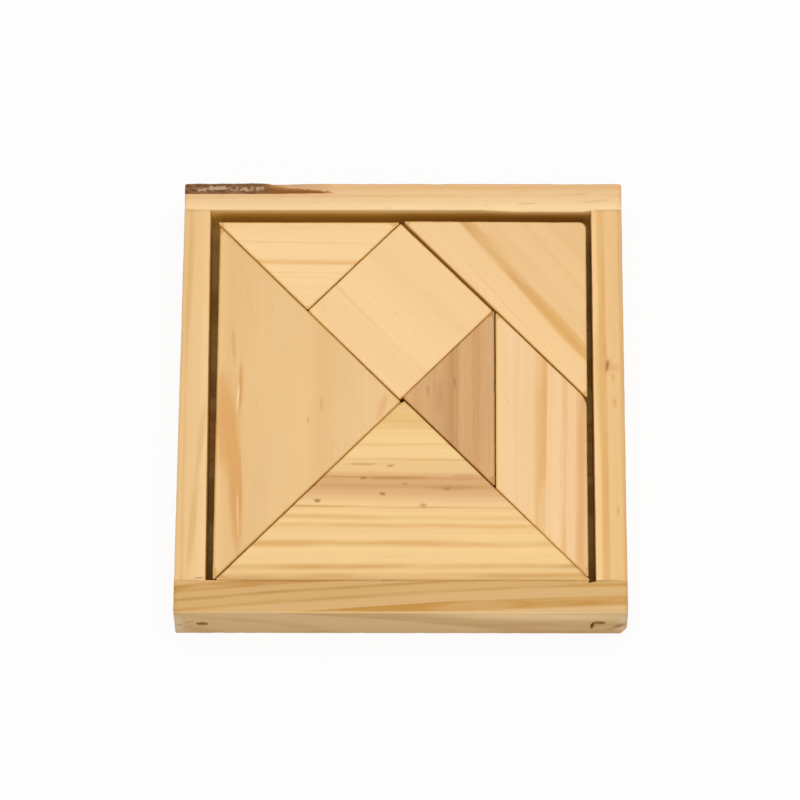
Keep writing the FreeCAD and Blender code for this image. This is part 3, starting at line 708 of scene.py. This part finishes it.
plain = blend_colour(tree, reckon(tree, "MULTIPLY", bare, 0.75), plain, shade(214, 167, 121))
barked = stored(tree, "bark")
barked = reckon(tree, "ADD", barked, reckon(tree, "MULTIPLY", reckon(tree, "SUBTRACT", flakes, 0.5), 0.6))
barked = ease(tree, barked, 0.3, 0.66)
tree.links.new(blend_colour(tree, barked, plain, bark_tone), surface.inputs["Base Color"])
rough = reckon(tree, "MULTIPLY_ADD", reckon(tree, "SUBTRACT", 0.9, plain_gloss), barked, plain_gloss)
tree.links.new(rough, surface.inputs["Roughness"])
set_down(shape, "back_rail_wood", back_wood, "back_rail")


# Four wire nails, driven through the front and back strips into the ends of the side strips and sunk with a
# punch. Only their dulled heads can be seen, at the bottom of the holes.

steel, tree, surface = start_material("nail_steel")
place = put(tree, "ShaderNodeTexCoord").outputs["Object"]
scale_marks = cloud(tree, place, (1500, 1500, 1500), 4.0)[0]
dull = blend_colour(tree, ease(tree, scale_marks, 0.4, 0.7), shade(150, 140, 124), shade(112, 88, 62))
tree.links.new(dull, surface.inputs["Base Color"])
surface.inputs["Metallic"].default_value = 0.7
tree.links.new(ease(tree, scale_marks, 0.3, 0.8, 0.45, 0.75), surface.inputs["Roughness"])
dress("corner_nails", steel)


# The seven pieces are sawn from planed stock as thick as a finger and sanded smooth. Each comes from another
# board, so each has its own tone and its grain runs its own way.

# Sides that lie beyond these places are along the wide gaps, and don't swell into them.
gap_side, gap_back = 49.9, 49.1
meeting_place = Vector((0.35, -1.4))
worn_tip = 0.6
piece_cell = (1.5, 1.5, 3)
piece_reach, piece_wear = 0.9, 0.1


def saw_piece(node, material, seed, swelling):
    """A piece whose sides, other than those along the wide gaps, stand a hair farther out than sawn, as damp
    wood swells, and whose tips are worn off where the pieces meet in the middle."""
    shape = merged_copy(node)
    cut_into_cells(shape, node, piece_cell)
    wear_edges(shape, piece_reach, piece_wear, seed)
    shape.normal_update()
    for vert in shape.verts:
        if abs(vert.co.x) < gap_side * mm and vert.co.y < gap_back * mm:
            vert.co.xy += vert.normal.xy * swelling * mm
        off_meeting = vert.co.xy / mm - meeting_place
        if 0 < off_meeting.length < worn_tip:
            vert.co.xy += off_meeting * (worn_tip / off_meeting.length - 1) * mm
    set_down(shape, f"{node}_wood", material, node)


tan = shade(238, 196, 137)
warm_tan = shade(235, 191, 131)
flame = shade(222, 163, 88)
left_triangle_wood = wood(
    "left_triangle_pine", along=-90, anchor=(-49.5, -10, 20.5), pith=(-70, 30), bow=-0.04, wander=2.2,
    zones=[
        (-6, shade(240, 199, 139)), (0.5, shade(240, 198, 138)), (3, warm_tan), (9, shade(236, 193, 133)),
        (14, tan), (24, tan), (28, warm_tan), (33, tan), (42, shade(241, 199, 142)), (56, tan)],
    lines=[
        (-6, unstained), (56, unstained)],
    fine=(2.6, 0.05, pine_late), fibre=0.09, patchy=0.16, end_tone=pine_end,
    marks=[
        ((-45, -18, 20.5), (0, 0, 3.2), (3.0, 30, 9), flame, 0.85, 0.7),
        ((-48, -10, 20.5), (0, 0, 3), (2.6, 16, 9), shade(224, 164, 94), 0.75, 0.7),
        ((-43.9, -31, 20.5), (0, 0, 2), (2.1, 17, 5), shade(223, 165, 100), 0.85, 0.7),
        ((-43.0, -24, 20.5), (0, 0, 1.6), (0.6, 13, 3), shade(216, 154, 88), 0.6, 0.5),
        ((-43.6, -33, 20.5), (0, 0, 1.6), (0.4, 9, 3), shade(250, 210, 150), 0.6, 0.4),
        ((-47.7, -1.4, 20.5), (0, 0, 4.6), (2.2, 13, 5), shade(226, 168, 100), 0.75, 0.6),
        ((-45.4, 14.2, 20.5), (0, 0, 3.9), (0.9, 7, 2), shade(212, 166, 104), 0.6, 0.8),
        ((-43.3, 2.4, 20.5), (0, 0, -0.8), (0.9, 10, 2), shade(216, 156, 86), 0.8, 0.5),
        ((-44, -0.6, 20.5), (0, 0, -4), (0.5, 5.2, 2), shade(255, 222, 164), 0.8, 0.3),
        ((-4.9, -2.9, 20.5), (0, 0, -18), (1.6, 5.2, 2), shade(226, 172, 110), 0.6, 0.8),
        ((-21.5, -2.3, 20.5), (0, 0, 0), (0.7, 3, 1), shade(214, 168, 106), 0.6, 0.8),
        ((-25, -7, 20.5), (0, 0, -6), (0.55, 1.6, 1), shade(212, 166, 104), 0.65, 0.6)])
saw_piece("left_large_triangle", left_triangle_wood, seed=5.0, swelling=0.13)

butter = shade(249, 209, 146)
rose = shade(220, 170, 115)
amber_line = shade(222, 207, 174)
soft_line = shade(238, 227, 204)
front_triangle_wood = wood(
    "front_triangle_pine", along=0, anchor=(0, -50.6, 20.5), pith=(64, 40), bow=0.03, wander=2.2,
    zones=[
        (-4, shade(240, 198, 135)), (1, shade(242, 201, 138)), (4.5, shade(246, 206, 142)), (8, butter),
        (18, butter), (20.4, shade(246, 205, 145)), (21.8, shade(236, 192, 134)),
        (23.4, shade(227, 178, 121)), (25.4, rose), (27.4, rose), (28.4, shade(226, 178, 120)),
        (29.6, shade(238, 197, 137)), (31.4, shade(239, 198, 138)), (32.8, shade(244, 204, 141)),
        (34, shade(248, 209, 146)), (45, shade(247, 207, 142)), (48, shade(236, 194, 129)),
        # The tone darkens from 48 to 52 mm, at the apex where the pieces meet, as painted shade.
        (52, shade(214, 168, 106))],
    lines=[
        (-4, unstained), (-0.4, unstained), (0.9, shade(228, 214, 184)), (2.2, unstained),
        (3.3, amber_line), (4.5, unstained), (7.8, unstained), (9.3, shade(230, 216, 186)),
        (10.9, unstained), (13.2, unstained), (14.3, soft_line), (15.3, unstained), (16.7, soft_line),
        (17.6, unstained), (18.9, unstained), (19.4, shade(224, 209, 176)), (19.9, unstained),
        (24.4, unstained), (25.3, shade(246, 240, 226)), (26.3, unstained), (27.2, unstained),
        (27.7, shade(232, 218, 186)), (28.2, unstained), (32.2, unstained), (32.6, shade(238, 228, 206)),
        (33.0, unstained), (36.2, unstained), (36.7, soft_line), (37.2, unstained), (40.4, unstained),
        (41.7, shade(242, 233, 214)), (52, unstained)],
    fine=(1.5, 0.1, pine_late), fibre=0.15, patchy=0.12, end_tone=pine_end,
    marks=[
        ((-1, -23.1, 20.5), (0, 0, 0), (13, 0.7, 1), shade(194, 142, 80), 0.8, 0.9),
        ((14, -25.7, 20.5), (0, 0, 0), (11, 1.0, 1), shade(200, 150, 92), 0.75, 0.7),
        ((17, -22.8, 20.5), (0, 0, 0), (4.5, 1.2, 1), shade(212, 154, 104), 0.6, 0.6),
        ((-10.3, -19.3, 20.5), (0, 0, 0), (6, 0.5, 1), shade(202, 156, 92), 0.75, 0.9),
        ((-2.8, -19.7, 20.5), (0, 0, 8), (1.5, 0.6, 1), shade(190, 142, 80), 0.75, 1.1),
        ((-10, -23.1, 20.5), (0, 0, 0), (1.4, 0.55, 1), shade(170, 118, 60), 0.8, 1.1),
        ((1.0, -24.7, 20.5), (0, 0, -6), (1.4, 0.55, 1), shade(190, 138, 84), 0.7, 1.1),
        ((12.5, -26.1, 20.5), (0, 0, 10), (1.5, 0.6, 1), shade(172, 124, 68), 0.75, 1.1),
        ((-4.9, -27.5, 20.5), (0, 0, -12), (1.3, 0.65, 1), shade(168, 116, 64), 0.85, 1.0),
        ((-22.3, -29.4, 20.5), (0, 0, -6), (1.4, 0.75, 1), shade(160, 116, 56), 0.85, 1.0),
        ((6, -30.7, 20.5), (0, 0, 0), (1.4, 0.85, 1), shade(200, 152, 92), 0.8, 1.0)])
saw_piece("front_large_triangle", front_triangle_wood, seed=6.0, swelling=0.02)

peach = shade(253, 214, 157)
back_triangle_wood = wood(
    "back_triangle_pine", along=-1.3, anchor=(-23, 37.5, 20.5), pith=(50, 36), bow=0.02, wander=1.6,
    zones=[
        (-16, shade(249, 209, 150)), (-9, shade(251, 212, 153)), (-2, peach), (2, peach),
        (6, shade(252, 212, 155)), (12, shade(249, 208, 150)), (16, straw)],
    lines=[
        (-16, unstained), (-7.4, unstained), (-7, faint), (-6.7, unstained), (-3.2, unstained),
        (-2.9, faint), (-2.6, unstained), (-0.8, unstained), (0, shade(240, 224, 192)), (1.6, unstained),
        (5.4, unstained), (5.8, faint), (6.1, unstained), (16, unstained)],
    fine=(1.4, 0.1, pine_late), fibre=0.11, patchy=0.1, end_tone=pine_end)
saw_piece("back_small_triangle", back_triangle_wood, seed=7.0, swelling=0.12)

red_pale = shade(217, 169, 115)
red_dark = shade(203, 152, 98)
middle_triangle_wood = wood(
    "middle_triangle_redwood", along=-90, anchor=(25, 0, 20.5), pith=(-44, 24), bow=0.05, wander=2.6,
    zones=[
        (-27, red_pale), (-15, red_pale), (-11.5, red_dark), (-8.5, red_pale),
        (-4.5, shade(209, 159, 105)), (-1, red_pale), (0.5, shade(221, 174, 122)), (4, red_dark)],
    lines=[
        (-27, unstained), (-16.6, unstained), (-16.2, faint), (-15.9, unstained), (-10.4, unstained),
        (-9.9, shade(240, 230, 220)), (-9.5, unstained), (-5.6, unstained), (-5.1, faint),
        (-4.7, unstained), (4, unstained)],
    fine=(1.2, 0.22, shade(218, 182, 146)), fibre=0.26, patchy=0.35, end_tone=shade(205, 170, 130),
    marks=[
        ((7.3, 1.4, 20.5), (0, 0, 4), (0.7, 2.2, 1), shade(190, 138, 88), 0.6, 0.8),
        ((14.5, 3.6, 20.5), (0, 0, 8), (0.6, 2.0, 1), shade(176, 122, 74), 0.75, 0.8),
        ((10.6, -0.5, 20.5), (0, 0, 0), (1.6, 7, 2), shade(198, 144, 92), 0.55, 0.6)])
saw_piece("middle_small_triangle", middle_triangle_wood, seed=8.0, swelling=0.05)

square_tone = shade(251, 210, 154)
square_wood = wood(
    "square_pine", along=-45, anchor=(0, 24, 20.5), pith=(30, 60), bow=0.05, wander=3,
    zones=[
        (-40, square_tone), (-14, shade(248, 206, 149)), (-6, square_tone), (10, shade(248, 206, 149)),
        (22, square_tone)],
    lines=[
        (-40, unstained), (-9, unstained), (-8, faint), (-7, unstained), (22, unstained)],
    fine=(2.2, 0.06, pine_late), fibre=0.09, patchy=0.08, end_tone=pine_end)
saw_piece("square_piece", square_wood, seed=9.0, swelling=0.06)

pink = shade(249, 208, 156)
pink_band = shade(238, 223, 194)
parallelogram_wood = wood(
    "parallelogram_pinkwood", along=-91, anchor=(38, -29, 20.5), pith=(60, 28), bow=0.02, wander=1.0,
    zones=[
        (-14, shade(247, 205, 148)), (-8, pink), (-2.8, shade(247, 205, 149)),
        (1.8, shade(247, 205, 151)), (4, pink), (7.4, shade(246, 203, 151)), (11, shade(243, 199, 145)),
        (14, shade(238, 193, 136))],
    lines=[
        (-14, unstained), (-7.6, unstained), (-7, faint), (-6.4, unstained), (-3.0, unstained),
        (-1.2, shade(244, 232, 208)), (-0.2, pink_band), (0.5, pink_band), (1.3, unstained),
        (4.2, unstained), (5.4, shade(246, 237, 218)), (6.0, shade(240, 227, 202)), (6.9, unstained),
        (8.4, unstained), (9.8, shade(242, 229, 208)), (10.9, shade(243, 231, 210)), (11.9, unstained),
        (14, shade(241, 228, 206))],
    fine=(1.6, 0.07, pine_late), fibre=0.12, patchy=0.1, end_tone=pine_end)
saw_piece("parallelogram_piece", parallelogram_wood, seed=10.0, swelling=0.055)

medium_tone = shade(245, 202, 144)
medium_wood = wood(
    "medium_triangle_pine", along=-49.2, anchor=(34.4, 30.0, 20.5), pith=(70, 30), bow=0.0, wander=1.4,
    zones=[
        (-30, medium_tone), (-9, shade(248, 206, 149)), (-2.2, shade(246, 204, 146)),
        (-1.4, shade(243, 199, 138)), (1.6, shade(243, 199, 140)), (3.4, shade(242, 199, 142)),
        (9, shade(243, 200, 142)), (24, shade(238, 195, 136))],
    lines=[
        (-30, unstained), (-7.6, unstained), (-7.2, faint), (-6.9, unstained), (-1.6, unstained),
        (-1.1, shade(236, 223, 198)), (0.1, shade(230, 214, 184)), (0.9, shade(238, 226, 206)),
        (2.2, unstained), (5.2, unstained), (5.6, faint), (6, unstained), (24, unstained)],
    fine=(1.5, 0.1, pine_late), fibre=0.12, patchy=0.12, end_tone=pine_end,
    marks=[
        ((43.8, 18.9, 20.5), (0, 0, -50.5), (15, 2.7, 6), shade(231, 176, 101), 0.85, 0.35),
        ((40.4, 22.7, 20.5), (0, 0, -50), (14, 0.7, 6), shade(225, 168, 94), 0.75, 0.4),
        ((46.8, 15.2, 20.5), (0, 0, -49), (7, 1.2, 3), shade(226, 170, 98), 0.65, 0.4),
        ((26, 43, 20.5), (0, 0, -46.9), (9, 1.6, 3), shade(236, 186, 120), 0.45, 0.4)])
saw_piece("medium_triangle", medium_wood, seed=11.0, swelling=0.05)


# The floor is plain white paper, a hair below the tray, and keeps the tray's shadow. One large soft lamp
# hangs above the tray, a weaker one stands low at the player's side, and a white sky lights the rest.


def straight_to_eye(tree):
    """One for what the camera, a reflection or a clear body sees, and nothing for light on its way."""
    path = put(tree, "ShaderNodeLightPath").outputs
    first = reckon(tree, "MAXIMUM", path["Is Camera Ray"], path["Is Glossy Ray"])
    return reckon(tree, "MAXIMUM", first, path["Is Transmission Ray"])


shape = bmesh.new()
hair_below = Matrix.Translation((0, 0, -0.05 * mm))
bmesh.ops.create_grid(shape, x_segments=2, y_segments=2, size=3, matrix=hair_below)
floor_mesh = bpy.data.meshes.new("floor")
shape.to_mesh(floor_mesh)
shape.free()
floor = add_object("floor", floor_mesh)
paper, tree, surface = start_material("white_paper")
surface.inputs["Base Color"].default_value = (0.97, 0.97, 0.97, 1)
surface.inputs["Roughness"].default_value = 0.9
surface.inputs["Specular IOR Level"].default_value = 0.0
glow = put(tree, "ShaderNodeEmission", {"Color": (1, 1, 1, 1), "Strength": 1.0}).outputs[0]
share = reckon(tree, "MULTIPLY", straight_to_eye(tree), 0.9)
lit = put(tree, "ShaderNodeMixShader", {0: share, 1: surface.outputs[0], 2: glow}).outputs[0]
tree.links.new(lit, tree.nodes["Material Output"].inputs["Surface"])
floor_mesh.materials.append(paper)

world = bpy.data.worlds.new("white_sky")
bpy.context.scene.world = world
world.use_nodes = True
tree = world.node_tree
sky = tree.nodes["Background"]
sky.inputs["Color"].default_value = (1, 1, 1, 1)
sky.inputs["Strength"].default_value = 0.56
backdrop = put(tree, "ShaderNodeBackground", {"Color": (1, 1, 1, 1), "Strength": 1.0}).outputs[0]
both = put(tree, "ShaderNodeMixShader", {0: straight_to_eye(tree), 1: sky.outputs[0], 2: backdrop}).outputs[0]
tree.links.new(both, tree.nodes["World Output"].inputs["Surface"])

for lamp_name, spot, power in (("softbox", (0.06, 0.14, 0.95), 3.3), ("low_softbox", (0, -0.9, 0.4), 2.35)):
    lamp_data = bpy.data.lights.new(lamp_name, "AREA")
    lamp_data.shape = "SQUARE"
    lamp_data.size = 0.7
    lamp_data.energy = power
    lamp = add_object(lamp_name, lamp_data)
    lamp.location = spot
    lamp.rotation_euler = (-lamp.location).to_track_quat("-Z", "Y").to_euler()

bpy.context.scene.view_settings.view_transform = "Standard"
